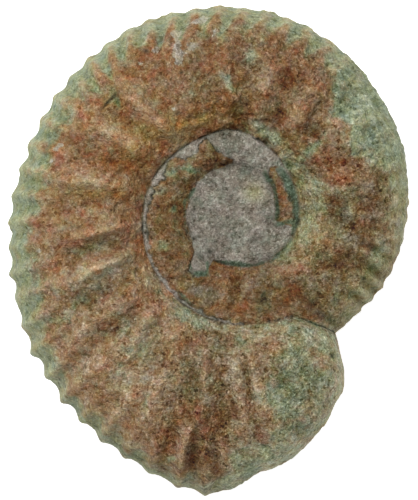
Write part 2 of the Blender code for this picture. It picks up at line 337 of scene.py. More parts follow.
def edge_radius(angle):
    """Radius of a whorl's outer edge. Before START the edge is buried and only has to be smooth."""
    buried = OUTER_EDGE[0][1] * EDGE_GROWTH ** ((angle - START) / 360)
    whole = curve(OUTER_EDGE, angle)
    broken = curve(BROKEN_END, angle)
    return np.where(angle < START, buried, np.where(angle < BROKEN_END[0][0], whole, broken))


def seam_radius(angle):
    inner = SEAM[0][1] * SEAM_GROWTH ** ((angle - START) / 360)
    return np.where(angle < START, inner, curve(SEAM, angle))


def half_thickness(angle):
    """Half the thickness of a whorl, which sinks to the whorl before it along the broken end."""
    grown = HALF_THICKNESS * THICKNESS_GROWTH ** ((angle - THICKEST_ANGLE) / 360)
    sinking = np.clip((angle - SINKING_START) / (END - SINKING_START), 0, 1)
    return grown * np.sqrt(1 - sinking**3)


def place_across(angle, radius):
    """0 at a whorl's outer edge, 1 at its seam."""
    edge, seam = edge_radius(angle), seam_radius(angle)
    return np.clip((edge - radius) / np.maximum(edge - seam, 1e-6), 0, 1)


def whorl_at(angle, radius):
    """The angle of the whorl that shows at this place: the last one, or one or more turns before it."""
    for _ in range(3):
        angle = np.where(radius < seam_radius(angle), angle - 360, angle)
    return angle


def flank_height(whorl, radius):
    """Height of a whorl's flank over the middle plane, from its round outer edge to its crown."""
    broken = smooth_step(whorl, *BLUNTING)
    bluntness = BLUNTNESS + (BREAK_BLUNTNESS - BLUNTNESS) * broken
    short_of_crown = np.clip(1 - place_across(whorl, radius) / WIDEST_PLACE, 0, 1)
    return half_thickness(whorl) * np.sqrt(1 - short_of_crown**bluntness)


def bare_height(angle, radius):
    """Height of the whorl that shows: its flank, then a wall down to the whorl before it."""
    whorl = whorl_at(angle, radius)
    foot = flank_height(whorl - 360, seam_radius(whorl))
    down = np.clip((place_across(whorl, radius) - WIDEST_PLACE) / (1 - WIDEST_PLACE), 0, 1)
    flank = flank_height(whorl, radius)
    return foot + (flank - foot) * (1 - down**WALL_ROUNDNESS)


def surface_height(angle, radius, side):
    """Height of the shell or of the sediment that fills its middle, whichever is higher."""
    bare = bare_height(angle, radius)
    fill = curve(FILL_LEVELS[side], radius)
    return (bare + fill + np.sqrt((bare - fill) ** 2 + FILL_BLEND)) / 2


def shell_shown(angle, radius, side):
    """1 on the bare shell, 0 on the sediment."""
    return smooth_step(bare_height(angle, radius) - curve(FILL_LEVELS[side], radius), *SHELL_BLEND)


def rib_wave(number, sharpness):
    """1 on each rib and below 0 between them. A sharper wave has narrower ribs."""
    turn = 2 * np.pi * number
    return (np.cos(turn) + sharpness * np.cos(2 * turn)) / (1 + sharpness)


def fine_rib_wave(angle, across):
    """The wave of the fine ribs that cross the outer edge, with sharp crests where the shell is large."""
    lean = RIB_LEAN * smooth_step(angle, *LEAN_STARTS) * fade(angle, *LEAN_ENDS)
    number = line(EDGE_RIBS, angle - lean * smooth_step(across, *LEAN_REACH))
    return rib_wave(number, FINE_SHARPNESS * smooth_step(angle, *SHARPENING))


def strong_rib_wave(angle):
    inner_number = (angle - STRONG_RIBS[0]) / 360 * INNER_STRONG_RIBS
    outer_number = np.interp(angle, STRONG_RIBS, range(len(STRONG_RIBS)))
    return rib_wave(np.where(angle < STRONG_RIBS[0], inner_number, outer_number), STRONG_SHARPNESS)


def rib_height(angle, across):
    """Fine ribs that cross the outer edge and fade inward, and strong ones from there to the seam."""
    fine = curve(EDGE_RIB_HEIGHT, angle) * fine_rib_wave(angle, across)
    strong = curve(STRONG_RIB_HEIGHT, angle) * strong_rib_wave(angle)
    strong = strong * smooth_step(across, *STRONG_RIB_STARTS) * fade(across, *STRONG_RIB_ENDS)
    return fine * fade(across, *FINE_RIB_ENDS) + strong


def weathering_at(points, whorl):
    """Low lumps, made from the place in space so that the two sides meet, and rougher on the break."""
    height = np.zeros(whorl.shape)
    for index in np.ndindex(height.shape):
        place = Vector(points[index])
        height[index] = sum(depth * noise.noise(place / size) for size, depth in WEATHERING)
    broken = smooth_step(whorl, *ROUGH_STARTS) * fade(whorl, *ROUGH_ENDS)
    return height * (1 + (BREAK_ROUGHNESS - 1) * broken)


def sediment_depth(points, angle, radius, side):
    """How far inside the sediment a place is, and below 0 outside it."""
    uneven = layers(points, BORDER_LUMPS)
    inside_seam = seam_radius(angle) - radius
    if side == -1:
        return (curve(FILL_LEVELS[side], radius) - bare_height(angle, radius)) * FILL_SPREAD + uneven
    plug = np.minimum(line(PLUG_EDGE, angle) - radius + uneven, inside_seam)
    strip = np.minimum(line(STRIP_WIDTH, angle) - inside_seam + STRIP_UNEVENNESS * uneven, inside_seam)
    return np.maximum(plug, strip)


def grain_at(points, rim, sediment):
    """Fine uneven relief, calmer on the rim and on the sediment."""
    twist = np.stack([lumps(points, TWIST_SIZE, seed) for seed in TWIST_SEEDS], axis=-1)
    points = points + GRAIN_TWIST * twist
    height = np.zeros(rim.shape)
    for index, (size, on_shell, on_sediment, creased) in enumerate(GRAIN):
        share = on_shell * (1 - RIM_CALM * rim) * (1 - sediment) + on_sediment * sediment
        wave = lumps(points, size, index)
        height += share * (np.abs(wave) - CREASE_MEAN if creased else wave)
    return height


def rim_share(whorl, across):
    """1 on the calm outer rim of the whole shell, 0 inside it."""
    broken = smooth_step(whorl, *BREAK_RIM_STARTS)
    return fade(across, *RIM_ENDS) * (1 - BREAK_RIM_LOSS * broken)


def relief_at(points, angle, radius, side):
    """Height of the ribs, lumps, pits and cracks above the mean surface."""
    whorl = whorl_at(angle, radius)
    across = place_across(whorl, radius)
    depth = sediment_depth(points, angle, radius, side)
    sediment = smooth_step(depth, *SEDIMENT_STEP)
    worn = layers(points, WEAR_LUMPS, 1)
    ribs = rib_height(whorl, across) * worn * shell_shown(angle, radius, side) * (1 - sediment)
    rim = rim_share(whorl, across)
    height = ribs + weathering_at(points, whorl) + SEDIMENT_RISE * sediment
    height = height + patches(turned(points, side), FORMS) * (1 - sediment)
    grain = grain_at(points, rim, sediment) * layers(points, GRAIN_LUMPS, 1)
    height = height + grain * line(GRAIN_STRENGTH, whorl)
    pits = smooth_step(lumps(points, PIT_SIZE, PIT_SEED), *PIT_LEVELS) * (1 - sediment) * (1 - rim)
    height = height - PIT_DEPTH * pits
    crust = smooth_step(warmth_at(points, angle, radius, side), *CRUST_WARMTH)
    height = height + CRUST_STEP * crust * (1 - sediment)
    edge = ridge(edge_radius(angle) - radius, CHIP_REACH) * smooth_step(whorl, *CHIP_STARTS)
    for size, chip, seed in CHIPS:
        height = height - chip * edge * np.maximum(lumps(points, size, seed), 0)
    seam = ridge(radius - seam_radius(angle), SEAM_GROOVE_WIDTH)
    border = ridge(depth, BORDER_GROOVE_WIDTH) * (radius < seam_radius(angle) - BORDER_GAP)
    return height - SEAM_GROOVE * seam - BORDER_GROOVE * border


def column_angles():
    """Angles of the columns of points, an even step apart along the outer edge."""
    fine = np.linspace(START, END, EDGE_STEPS)
    turn, radius = np.radians(fine), edge_radius(fine)
    length = np.append(0, np.hypot(np.diff(radius * np.cos(turn)), np.diff(radius * np.sin(turn))).cumsum())
    return np.interp(np.linspace(0, length[-1], COLUMNS, endpoint=False), length, fine)[:, None]


def ring_radii(angles, side):
    """Radii of the rings in each column, moved a little so that one of them follows each seam."""
    outer_rows, middle_rows = ROWS[side]
    trial = INNER_REACH + (edge_radius(angles) - INNER_REACH) * (1 - np.linspace(0, 1, PROFILE_STEPS) ** 2)
    heights = surface_height(angles, trial, side)
    heights[:, 0] = 0
    steps = np.hypot(np.diff(trial), np.diff(heights))
    middle_rings = np.linspace(INNER_REACH, 0, middle_rows)
    rings = []
    for angle, radius, step in zip(angles[:, 0], trial, steps):
        length = np.append(0, step.cumsum())
        outer_rings = np.interp(np.linspace(0, length[-1], outer_rows, endpoint=False), length, radius)
        column = np.append(outer_rings, middle_rings)
        for seam in (seam_radius(angle), seam_radius(angle - 360)):
            nearest = max(1, np.abs(column - seam).argmin())
            share = np.clip(1 - np.abs(np.arange(len(column)) - nearest) / SEAM_RINGS, 0, 1)
            column = column + share * (seam - column[nearest])
        rings.append(column)
    return np.array(rings)


def flank_points(side):
    """The points of one side, in columns from the outer edge to the middle, with all their relief."""
    angles = column_angles()
    radii = ring_radii(angles, side)
    heights = surface_height(angles, radii, side)
    heights[:, 0] = 0
    out, up = np.gradient(heights, axis=1), -np.gradient(radii, axis=1)
    out[:, 0], up[:, 0] = 1, 0
    length = np.hypot(out, up)
    turn = np.radians(angles)
    normals = np.stack([out * np.cos(turn), out * np.sin(turn), up * side], axis=-1) / length[..., None]
    points = np.stack([radii * np.cos(turn), radii * np.sin(turn), heights * side], axis=-1)
    raised = relief_at(points, angles + 0 * radii, radii, side)
    return points + normals * raised[..., None]


def ring_counts(side):
    """Points in each ring: fewer towards the middle, where they would crowd."""
    outer_rows, middle_rows = ROWS[side]
    counts = [COLUMNS] * (outer_rows + middle_rows)
    for start, share in RING_SHARES:
        for row in range(outer_rows + round(start * middle_rows), len(counts)):
            counts[row] = COLUMNS // share
    counts[-1] = 1
    return counts


def strip_faces(points, outer, inner):
    """Triangles between a ring of points and the next one in, which has as many points, half, or one."""
    step = len(outer) // len(inner)
    index = np.arange(len(outer))
    point, after = outer[index], outer[(index + 1) % len(outer)]
    low, high = inner[index // step], inner[(index // step + 1) % len(inner)]
    if step > 2:
        return np.stack([point, after, low], axis=1)
    rising = np.linalg.norm(points[point] - points[high], axis=1)
    falling = np.linalg.norm(points[after] - points[low], axis=1)
    across = (rising < falling if step == 1 else index % 2 == 1)[:, None]
    first = np.where(across, np.stack([point, after, high], axis=1), np.stack([point, after, low], axis=1))
    second = np.where(across, np.stack([point, high, low], axis=1), np.stack([after, high, low], axis=1))
    return np.concatenate([first, second[across[:, 0]] if step == 2 else second])


def set_upright(points):
    """From places about the axis to places on the ground, with what would be below it worn off flat."""
    points = points.copy()
    points[:, 2] += MIDDLE_HEIGHT + SLOPE_X * points[:, 0] + SLOPE_Y * points[:, 1]
    points[:, 2] = np.maximum(points[:, 2], 0)
    points[:, :2] += AXIS_X, AXIS_Y
    return points


def about_axis(points):
    """From places on the ground back to places about the axis."""
    points = points - (AXIS_X, AXIS_Y, MIDDLE_HEIGHT)
    points[:, 2] -= SLOPE_X * points[:, 0] + SLOPE_Y * points[:, 1]
    return points


def fossil_mesh():
    """Both sides as one closed mesh that shares the ring of the outer edge."""
    points, faces = np.empty((0, 3)), []
    for side in (1, -1):
        columns = flank_points(side)
        if side == 1:
            points = columns[:, 0]
        outer = np.arange(COLUMNS)
        for row, count in list(enumerate(ring_counts(side)))[1:]:
            inner = np.arange(len(points), len(points) + count)
            points = np.concatenate([points, columns[:: COLUMNS // count, row]])
            faces.append(strip_faces(points, outer, inner)[:, ::side])
            outer = inner
    faces = np.concatenate(faces)
    mesh = bpy.data.meshes.new("ammonite_stone")
    mesh.vertices.add(len(points))
    mesh.vertices.foreach_set("co", (set_upright(points) / 1000).ravel())
    mesh.loops.add(faces.size)
    mesh.loops.foreach_set("vertex_index", faces.ravel())
    mesh.polygons.add(len(faces))
    mesh.polygons.foreach_set("loop_start", np.arange(0, faces.size, 3))
    mesh.update(calc_edges=True)
    mesh.validate()
    return mesh


def add_object(name, data):
    added = bpy.data.objects.new(name, data)
    bpy.context.collection.objects.link(added)
    return added


def thinned(mesh):
    """The fossil as an object whose mesh keeps its triangles where the relief needs them."""
    dense = add_object("dense", mesh)
    thin = dense.modifiers.new("Thin", "DECIMATE")
    thin.ratio = TRIANGLES / len(mesh.polygons)
    thin.use_collapse_triangulate = True
    depsgraph = bpy.context.evaluated_depsgraph_get()
    result = bpy.data.meshes.new_from_object(dense.evaluated_get(depsgraph))
    bpy.data.objects.remove(dense, do_unlink=True)
    bpy.data.meshes.remove(mesh)
    for vertex in result.vertices:
        vertex.co.z = max(vertex.co.z, 0)
    result.name = "ammonite_stone"
    result.shade_smooth()
    return add_object("ammonite_stone", result)


# Marks on the upper side as (x, y, length, width, turn, strength), from the middle of the fossil.
# Green and light ones are above 0, and brown and dark ones below.
GREEN_MARKS = (
    (7, 32.9, 2.6, 1.3, 85, 0.8),  # top
    (3.3, 28, 2.8, 0.8, -60, 0.7),
    (23.2, 27.3, 3.6, 1.8, -50, 0.4),  # field up right
    (25, 19, 3.4, 1.9, 75, 1),
    (10.2, 19.2, 4.8, 0.8, -40, 0.8),  # beside the seam
    (17, 16.6, 3.6, 1, 38, 1),  # valleys that reach out from the wall on the right
    (19.3, 10.7, 3.8, 1, -5, 0.9),
    (17.6, 7.6, 2.2, 2.2, 0, 0.9),
    (23.7, 6.4, 1.8, 0.9, 0, 0.6),
    (18.4, 2.6, 4.2, 1.1, 6, 1),
    (24.4, 1.8, 1.6, 1.2, 0, 0.6),
    (21.5, 14, 5, 2.4, -15, -0.6),  # and the brown between them
    (23, 11.6, 1.5, 1, 30, -1.3),
    (21.3, 8.6, 1.7, 1.4, 0, -0.9),
    (22.6, -1.4, 3, 2.6, 0, -0.8),
    (21.8, 4, 2, 1.5, 0, -0.9),
    (27.4, 8.4, 3, 1.6, 80, -0.5),
    (24.9, -6.2, 2.4, 1, -40, 0.6),  # below them
    (24.4, -12, 3.4, 1.8, 25, 1.3),
    (25.2, -9.3, 2.6, 1.8, 50, 1),
    (16.8, -7.8, 4.2, 2.2, 0, -0.6),
    (31.6, 11, 3.4, 1.5, 82, 0.8),  # right edge
    (30.8, 5.2, 2.4, 0.9, -8, 0.5),
    (29.6, 0.4, 2.6, 1.4, 70, 0.4),
    (25.8, -5.6, 5.6, 3.2, 55, 1.1),
    (20.8, -10.4, 2.4, 1, -60, 0.5),
    (18.5, -14.3, 4.2, 1.9, -14, 1.1),  # the lobe at the broken end
    (12.5, -22, 4.2, 2, 80, 1.8),
    (16.6, -21, 7, 6, 90, 0.7),
    (18, -25.8, 5, 4.2, 0, 0.9),
    (13, -32, 5.5, 2.8, 30, 1.3),
    (6.8, -35.2, 4, 2.8, 25, 1.3),
    (1.8, -40.2, 3.4, 1.2, 25, 1.1),
    (22.4, -21.8, 7, 1.8, 85, 1.6),
    (18.6, -30, 4, 1.8, 50, 1),
    (6.4, -16.3, 1.6, 1, 0, 0.5),
    (18.1, -19.2, 3, 2.2, 0, -0.4),
    (15.6, -28, 1.4, 1.2, 0, -0.6),
    (9.6, -27.4, 2.6, 0.9, 103, -1),
    (9.2, -31.3, 2.4, 0.9, 110, -1.1),
    (5.4, -29.8, 2.4, 0.8, 100, -0.8),
    (-15.3, 25, 1.7, 0.9, 100, 0.9),  # left
    (-19.8, 26.4, 2.2, 1.4, 30, 0.4),
    (-19.6, 18.6, 2.2, 1.5, 60, 0.5),
    (-20.2, 0.2, 3.4, 1.2, 12, 0.45),
    (-19.3, -6.3, 5, 2.4, 29, 0.5),
    (-14.4, -12, 4.2, 1.4, 38, 0.4),
    (-13.4, 4.4, 2.6, 5, 0, -0.5),
    (-18.5, -24, 6, 3, -45, -0.3),
    (-10.8, -16.9, 4.5, 3, 60, 0.4),
    (-10.8, -26.3, 2.8, 1.1, 75, 0.9),  # bottom
    (-3.6, -32, 5, 5, 0, -0.6),
    (-6.3, -22.6, 3, 1.5, 80, 0.4),
    (-6, -34.8, 1, 0.7, 0, 1.2),
    (-1.6, -37.6, 3.2, 0.9, -20, 0.5),
    (-7.6, 0.8, 1.2, 1.1, 0, 1.2),  # inner whorl
    (-6.4, 13, 1.8, 0.7, 25, 0.8),
    (-2.4, 13.6, 2.4, 0.6, -10, 0.7),
    (-8.4, 9.8, 2.2, 0.7, 20, 0.7),
    (-5.8, 7.2, 1, 0.7, 90, 0.8),
    (6, -6.6, 2.6, 0.7, 68, 0.8),
    (2.6, -6, 1.8, 0.6, 78, 0.6),
    (1.6, -9.4, 1.6, 0.9, 0, -0.8),
    (4.7, -9.2, 1.6, 0.9, 0, -0.6),
    (14.4, -3.2, 2.3, 1.2, 4, -1.3),
    (-4.6, -16.2, 2.4, 0.7, 78, -0.8),  # red streaks
    (-7.1, -18.4, 1.8, 0.5, 72, -1),
    (-18.2, -19.8, 2.2, 0.6, 12, -0.8),
    (26.6, 6.5, 1.8, 1.2, 0, -0.6),  # brown in other places
    (15.6, 30, 4, 3, 0, -0.4),
    (16.2, 23, 4, 2.2, 60, -0.4),
    (22, 17, 3, 2.6, 0, -0.4),
    (-6, 31.4, 4.6, 2.6, 0, -0.4),
    (-6.4, -30.4, 4, 1.8, 80, -0.3),
    (1, -37.2, 3, 2, 0, -0.5),
    (-9.4, -3.6, 4.4, 1.8, -50, -0.4),
)
# Lighter and darker marks: partly the stone's own tone, partly painted highlights on ridges and on the
# seam's lit wall, and painted shade in the hollows between ribs
LIGHT_AND_SHADE_MARKS = (
    (-7.7, 21.3, 1.1, 1.1, 0, 0.6),  # left
    (-12.2, 28.5, 1.1, 0.8, 0, 0.8),
    (-13.2, 4.4, 1.6, 0.8, 5, 0.5),
    (-10.5, -11, 0.8, 0.8, 0, 1.2),
    (-14.2, -21, 2.6, 1.4, 20, 0.5),
    (-5.2, -26.6, 0.8, 0.45, -15, 1.6),  # bottom
    (7.9, -24.4, 4.2, 0.45, 101, 0.8),
    (2.6, -19.5, 5.5, 4, 90, 0.35),
    (-3.8, -37, 0.9, 0.5, 0, 0.9),
    (-10.8, -26.3, 2.4, 0.9, 75, 0.6),
    (-6, -34.8, 0.9, 0.6, 0, 0.6),
    (-2.4, -11.4, 3.4, 0.6, -42, 0.7),  # along the seam: painted highlight on the wall and ridge beside it
    (4.4, -13.4, 4, 0.6, -2, 0.7),
    (11.6, -13, 4, 0.7, 8, 0.5),
    (12.6, 17.4, 4, 0.7, -48, 0.6),
    (25.4, 21.5, 5, 2.2, 100, 1.1),  # field up right
    (-1, 21.6, 6, 1.6, 10, 0.4),  # top
    (21.2, 10.3, 1.5, 0.6, 10, 1),  # right
    (24.4, 1.8, 1.5, 1, 0, 0.5),
    (31.4, 4.9, 1.2, 0.6, 0, 0.9),
    (19, 2.8, 3, 0.7, 5, 0.6),
    (31, 2.2, 2.2, 0.5, -20, 0.6),
    (30.9, 7.6, 1.8, 0.6, 0, 0.5),
    (26.6, 24.7, 2.2, 1.4, 40, 0.5),
    (28.5, 22, 1.3, 1, 0, 0.5),
    (17.5, -14.8, 2.6, 1.1, -12, 0.5),  # the lobe
    (21.9, -20.3, 5, 0.7, 87, 0.6),
    (16.4, -22.4, 6, 4.6, 90, -0.2),
    (6.5, 17.9, 1.2, 0.35, -60, 0.8),  # the plug
    (12.8, 2, 1.5, 0.6, 55, 0.9),
    (7.6, 9.9, 1.7, 1.7, 0, 1.5),
    (7.8, 10.2, 0.8, 0.8, 0, -1.1),
    (-1.8, 9, 1.4, 3, 0, -0.5),
    (5.8, 12.4, 1, 0.8, 0, 0.4),
    (0.8, 9, 2.6, 1, -10, 0.4),
    (4, 4.2, 3.2, 0.7, 6, -0.5),
    (1.4, 6.4, 2.2, 0.5, 12, -0.5),
    (5.6, 0.2, 2.8, 1, 8, 0.35),
    (17.2, 1.6, 2.6, 5, 0, 0.5),  # the wall beside the seam
    (0, 26.5, 3, 2.4, 0, -0.5),  # dark ones, top
    (5.2, 28.1, 1.8, 0.7, 80, -0.6),
    (3.4, 19.2, 4.4, 1.1, 0, -1.1),
    (10.1, 22.4, 2.6, 1.4, 80, -0.6),
    (20.8, 28.2, 1.4, 1.1, 0, -0.6),
    (14.6, 17.4, 1.5, 1.5, 0, -0.6),
    (27.8, 12.8, 2.6, 1.3, -30, -0.2),  # right
    (16.6, 13.4, 1.7, 1, 0, -0.6),
    (21.2, 8.2, 2, 1.7, 0, -0.9),
    (22.6, 4.4, 2.6, 1.3, -10, -0.8),
    (26.4, 6.6, 1.6, 1.1, 0, -0.5),
    (22.6, -1.6, 2.8, 2.4, 0, -0.8),
    (28.4, 10.2, 3.8, 1.8, 85, -0.3),
    (24.4, -12.2, 3, 1.4, 25, -0.5),
    (17.3, 0.2, 2.8, 0.9, 0, -0.4),
    (27.6, -8, 2, 0.9, 45, -0.5),
    (20.7, -5.2, 4, 2.4, 0, -0.5),
    (17, -8.4, 3.6, 1.5, -15, -0.6),
    (19.8, -11.4, 3, 1.1, -25, -1),
    (-13.3, 21.4, 2.8, 0.9, -30, -0.5),  # left: painted shade in the hollows between the ribs
    (-10.4, 19, 2.2, 0.9, 50, -0.3),
    (-22.2, -8.4, 1.9, 1, 0, -0.7),
    (-10, -21.4, 2.4, 1.4, 60, -0.5),
    (-3.5, -36.4, 1.8, 0.9, 0, -0.8),  # bottom
    (1.1, -37.2, 2.6, 1.2, 20, -0.3),
    (2.3, -30.8, 1.9, 1.4, 0, -0.9),
    (4.2, -26.3, 3, 1.7, 80, -0.4),
    (7.4, -30.7, 2.4, 1.1, 100, -0.6),
    (-19.4, -29, 4, 1.3, -45, -0.6),
    (-13.6, -34, 4, 1.4, -38, -0.9),
    (-8, -36.8, 3.6, 1.4, -28, -0.9),
    (-0.4, -40.4, 3, 1.2, -10, -0.7),
    (-18.5, -24, 6, 3, -45, -0.35),
    (-4.5, -27, 1.4, 0.9, 0, -0.7),
    (2.2, 15.4, 2.2, 1.1, -30, -1),  # inner whorl
    (-7.4, 7.2, 2.2, 0.9, 0, -0.7),
    (-3.2, -8.2, 2.8, 1, -42, -0.4),
    (-7.8, 3.6, 1.6, 1.2, 0, -0.4),
    (9.2, -8.4, 1.8, 1, 60, -0.5),
    (26.9, 20.3, 2.4, 1.5, 60, -0.5),  # field up right
    (25.8, 17, 2, 1.2, 0, -0.5),
    (23, 26, 1.7, 1.1, 60, -0.5),
    (25, 29.8, 1.5, 0.9, 60, -0.4),
    (-26.6, 17.6, 2.2, 0.7, 60, -0.6),  # along the left rim
    (-25.2, 20.8, 2.4, 0.6, 45, -0.6),
    (-24.2, 28.3, 1.5, 0.5, 20, -0.9),
    (-30.6, 10.6, 1.5, 0.9, 90, -0.5),
    (-30.2, -0.4, 2.6, 0.9, 90, -0.3),
    (-29.5, -10.1, 2.2, 0.9, 110, -0.3),
)
# Dark green marks: the stone's own green, and beside the plug, its sliver and the seam's groove painted
# shade as well
TEAL_AND_SHADE_MARKS = (
    (12.4, 13.1, 2.8, 0.9, 125, 0.8),  # between the plug and the seam, right: painted shade in the groove
    (13.9, 9.9, 2.6, 0.9, 108, 0.85),
    (14.7, 6.6, 2, 0.7, 92, 0.85),
    (14.4, 3.6, 1.8, 0.45, 72, 0.8),
    (10.2, 12, 1.8, 0.6, 120, 0.9),  # along the sliver of shell in the plug: painted shade beside it
    (11.4, 9, 2, 0.45, 100, 0.9),
    (11.6, 6.2, 1.4, 0.45, 88, 0.9),
    (10.2, 5.4, 1.2, 0.8, 0, 0.6),
    (13, 4.6, 1.8, 0.5, 15, 0.9),
    (2.6, -2, 2.6, 0.45, -5, 0.8),  # along the plug's lower edge: painted shadow below it
    (5.6, -2.4, 2.2, 0.4, -3, 0.7),
    (9.1, -2.1, 2, 0.35, 15, 0.7),
    (12.2, -0.2, 2, 0.4, 45, 0.8),
    (-1.4, -3.9, 1.4, 0.6, 0, 1.1),  # its tail, with painted shadow on its lower side
    (-3.1, -2.5, 1, 0.3, 90, 0.8),
    (-0.2, -2.8, 1, 0.3, 90, 0.8),
    (-3, 9.5, 1.7, 0.45, 55, 0.8),  # its left edge, as painted shadow along it
    (-4, 6.5, 2, 0.35, 90, 0.7),
    (-3.6, 3.1, 1.8, 0.3, 105, 0.6),
    (-6.2, 13.1, 1.3, 0.5, 30, 0.8),  # inner whorl
    (-2.8, 13.4, 2, 0.45, -15, 0.7),
    (-5.8, 7.2, 1, 0.5, 90, 0.8),
    (-4, -8, 2.6, 0.5, -43, 0.6),
    (9.2, -7.4, 1, 0.6, 60, 0.6),
    (-15.3, 25.2, 1.6, 0.5, 102, 0.6),  # beside the crack
    (28.3, 25, 3.4, 0.4, -60, 0.5),  # field up right
    (27.2, 20.4, 2.2, 1, 60, 0.35),
    (26, 16.8, 1.6, 0.8, 20, 0.35),
    (22.9, 26, 1.4, 0.7, 60, 0.35),
    (28, -3.2, 1.8, 0.7, -50, 0.4),  # right
    (16.9, 7, 0.9, 0.9, 0, 0.5),
    (12.3, -20.4, 2, 1, 80, 0.5),  # the lobe
    (7.5, -23.4, 3.4, 0.5, 104, 0.45),
    (13.4, -29.8, 1.5, 1, 0, 0.5),
    (17.4, -12.2, 3, 0.45, -24, 0.7),
    (15, -16.6, 1.4, 0.6, 50, 0.6),
    (-27, 17.4, 2, 0.6, 60, 0.4),  # along the left rim
    (-24.2, 28.3, 1.3, 0.4, 20, 0.6),
    (-30.4, 10.4, 1.4, 0.6, 90, 0.4),
    (-8.2, 37, 2.2, 0.7, 84, 0.4),  # along the top rim
    (-12.5, 35, 2.2, 0.7, 84, 0.4),
)
GREY_MARKS = (
    (-14.4, -12, 4.5, 1.8, 40, 0.6),  # mostly the hollows between the ribs, left
    (28.2, 9.8, 4.2, 2.2, 88, 0.6),
    (-19.4, 0.4, 4.2, 1.5, 13, 0.7),
    (-18.8, -6.4, 5.2, 2.6, 29, 0.8),
    (4, -6.8, 5, 2, 0, 0.4),
    (25, 1, 4, 6, 0, 0.3),
    (-9.9, -18.6, 5.5, 2.4, 70, 0.5),
    (-24, 9.4, 2, 1.2, 0, 0.4),
    (-7, -24, 3, 1.6, 80, 0.5),
    (4.6, -20.4, 3.5, 2.2, 85, 0.7),  # bottom
    (1.1, -17, 3, 1.8, 80, 0.5),
    (-0.4, -25, 3, 1, 85, 0.5),
    (7.3, -30.6, 2.2, 1, 95, 0.8),
    (17.3, 20.5, 1.7, 1.3, 0, 0.8),  # right
    (24.1, 1.6, 2, 1.3, 0, 0.9),
    (31.4, 4.8, 1.3, 0.8, 0, 0.8),
    (16.9, 6.9, 1.6, 1.4, 0, 0.7),
    (23, 6, 2.6, 1.2, 0, 0.5),
    (21, -6, 3, 1.6, 20, 0.4),
    (18.4, -10.6, 3.4, 1, -20, 0.6),
    (0.2, -8, 1.8, 1.2, 70, 1.2),  # inner whorl
    (-1.9, -6.6, 1.7, 1.2, 0, 0.9),
    (8.8, -5, 1.6, 1, 60, 1.2),
    (9.4, -7.8, 1.5, 0.9, 60, 1.2),
    (-7.7, 10.3, 1.8, 1.2, 30, 0.7),
    (-7, -5, 2, 0.8, -50, 0.5),
    (-3.1, 31.5, 1.8, 1.4, 0, 0.4),  # top
    (2.4, 29.4, 2.4, 0.8, -60, 0.6),
    (7.2, 30.6, 2.6, 1, 85, 0.5),
    (-12, 18.2, 3.4, 0.8, -8, 0.4),
)
OCHRE_MARKS = (
    (-3, 21.4, 7, 1.6, 14, 1.3),
    (-15.9, 27.3, 6, 3.4, 40, 0.4),
    (-18, 9.6, 8, 1.6, 0, 0.8),
    (-13, 15.5, 4, 2.6, 0, 0.9),
    (-11.5, 19.6, 4, 1.6, -20, 0.8),
    (4, 24, 3, 2, 90, 0.6),
    (13.6, 18.8, 2.4, 1.6, 60, 0.7),
    (-6.2, -16.4, 2, 1, 80, 0.4),
    (31.5, 9, 5, 2, 90, 0.4),
    (18, 1.6, 5, 3, 80, 0.5),
    (7.6, 9.9, 1.7, 1.7, 0, 1.5),
    (26, -5.4, 5, 3, 55, 0.7),
    (16, 10, 3.4, 1.6, 110, 0.4),
)
CRUST_MARKS = (
    (-5.5, 36.5, 1.2, 0.7, 0, 1),
    (-5.2, 34.6, 1.4, 0.5, 90, 1),
    (-5.2, 33, 1.4, 1, 0, 1.1),
    (-5, 31.6, 0.9, 0.5, 20, 0.7),
    (-8.8, 33.7, 0.9, 0.7, 60, 0.9),
    (-11.5, 31.4, 0.65, 0.65, 0, 0.8),
    (-2.8, 34.3, 1, 0.8, 30, 0.8),
    (-1.4, 38.9, 1.8, 0.7, 25, 0.9),
    (1, 36.6, 1.2, 0.5, 70, 0.8),
    (-4.4, 26.6, 0.7, 0.4, 30, 0.5),
    (-25.6, 17.1, 0.6, 0.35, 40, 1.5),
    (-24.8, 17.7, 0.45, 0.3, 0, 1.4),
    (-26.4, 15, 0.45, 0.3, 60, 1.4),
    (-28.5, -0.1, 0.45, 0.35, 0, 0.8),
    (-5.9, 23.7, 0.25, 0.25, 0, 1.2),
)
# Dark pits and the crack: painted shade in these holes, as (x, y, length, width, turn, strength)
PIT_SHADE_MARKS = (
    (-2.6, 2, 0.3, 0.28, 0, 1.3),
    (0.2, -0.1, 0.38, 0.32, 0, 1.3),
    (-10.5, 33.6, 0.5, 0.4, 0, 0.9),
    (20.7, -17.6, 0.28, 0.28, 0, 1.2),
    (2.3, -12.2, 0.25, 0.2, 0, 1),
    (-5.2, 23, 0.5, 0.3, 40, 0.7),
    (-16.8, 25, 1.4, 0.2, 45, 1.2),
    (5, -21, 0.3, 0.25, 0, 0.8),
    (6.8, 1.6, 0.2, 0.2, 0, 0.9),
    (3.2, 5.4, 0.22, 0.2, 0, 0.8),
    (-4.6, 29.8, 0.3, 0.3, 0, 0.8),
)

# The green coat of the outer edge as (angle, width), and the pale one on the wall above the seam
RIM_WIDTH = (
    (START, 1.8), (0, 2.2), (10, 2.4), (14, 2.6), (18.5, 6), (24, 7.7), (35, 7.4), (40, 8.4), (45, 9),
    (49, 6.2), (56, 3.2), (70, 2.8), (95, 3), (108, 3.6), (125, 3.4), (140, 3.6), (160, 4.3), (185, 4.7),
    (205, 4.5), (225, 3), (245, 2.6), (264, 2.6), (280, 4), (END, 4),
)
# How far the brown of the flank runs out along each rib of the rim, as (angle, share of the rim)
TONGUES = ((50, 0.1), (62, 0.45), (95, 0.55), (120, 0.65), (140, 0.4), (160, 0.2), (200, 0.15), (235, 0.35))
WALL_WIDTH = (
    (START, 0.5), (-40, 3), (-10, 3.6), (20, 3.2), (40, 2.4), (60, 2.2), (80, 0.8), (88, 0),
    (208, 0), (218, 1), (235, 1.6), (262, 1.8), (285, 2.4), (303, 3), (END, 0.5),
)
